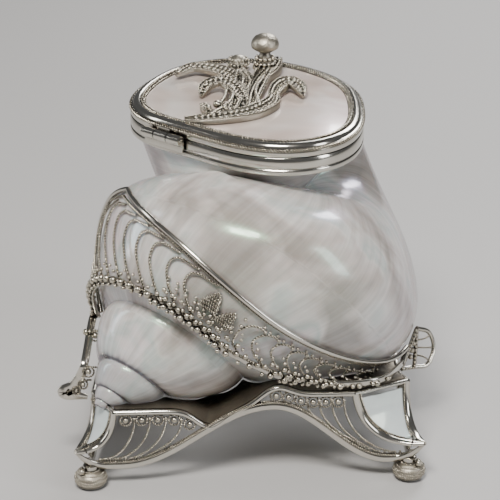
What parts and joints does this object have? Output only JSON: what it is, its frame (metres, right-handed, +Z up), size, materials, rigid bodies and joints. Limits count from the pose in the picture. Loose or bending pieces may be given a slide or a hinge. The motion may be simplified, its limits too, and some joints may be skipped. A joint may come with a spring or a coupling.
{
  "type": "shell box",
  "caption": "Lidded casket: a hollow pearled turban shell in filigree mounts on a four-footed stand, with a hinged lid.",
  "frame": {"origin": "under the middle of the casket, on the plane that its feet stand on", "axes": "+Z up, -Y the front with the spire at its left, +X to the right"},
  "size_m": [0.1144, 0.1116, 0.1137],
  "materials": {
    "nacre": "polished nacre with a soft iridescent sheen",
    "nacre_inlay": "polished blue-grey nacre",
    "silver": "polished silver, lightly tarnished",
    "filigree": "twisted silver wire, dark in the recesses",
    "matte_silver": "stippled matte silver"
  },
  "bodies": {
    "root": {"shell": "nacre", "collar": "silver", "hinge_case_leaf": "silver", "hinge_pin": "silver", "band": "filigree", "side_leaf": "filigree", "rear_leaf": "filigree", "stand_sheet": "matte_silver", "apron_front": "filigree", "apron_right": "filigree", "apron_back": "filigree", "apron_left": "filigree", "corner_front_left": "silver", "inlay_front_left": "nacre_inlay", "foot_front_left": "matte_silver", "corner_front_right": "silver", "inlay_front_right": "nacre_inlay", "foot_front_right": "matte_silver", "corner_back_right": "silver", "inlay_back_right": "nacre_inlay", "foot_back_right": "matte_silver", "corner_back_left": "silver", "inlay_back_left": "nacre_inlay", "foot_back_left": "matte_silver"},
    "lid": {"lid_frame": "silver", "lid_panel": "nacre", "lid_spray": "filigree", "lid_finial": "silver", "hinge_lid_leaf": "silver"}
  },
  "joints": [
    {"name": "lid_hinge", "type": "hinge", "parent": "root", "child": "lid", "pos_m": [-0.02734, -0.01007, 0.09715], "axis": [0.7628, -0.6466, 0], "range_deg": [0, 100]}
  ]
}
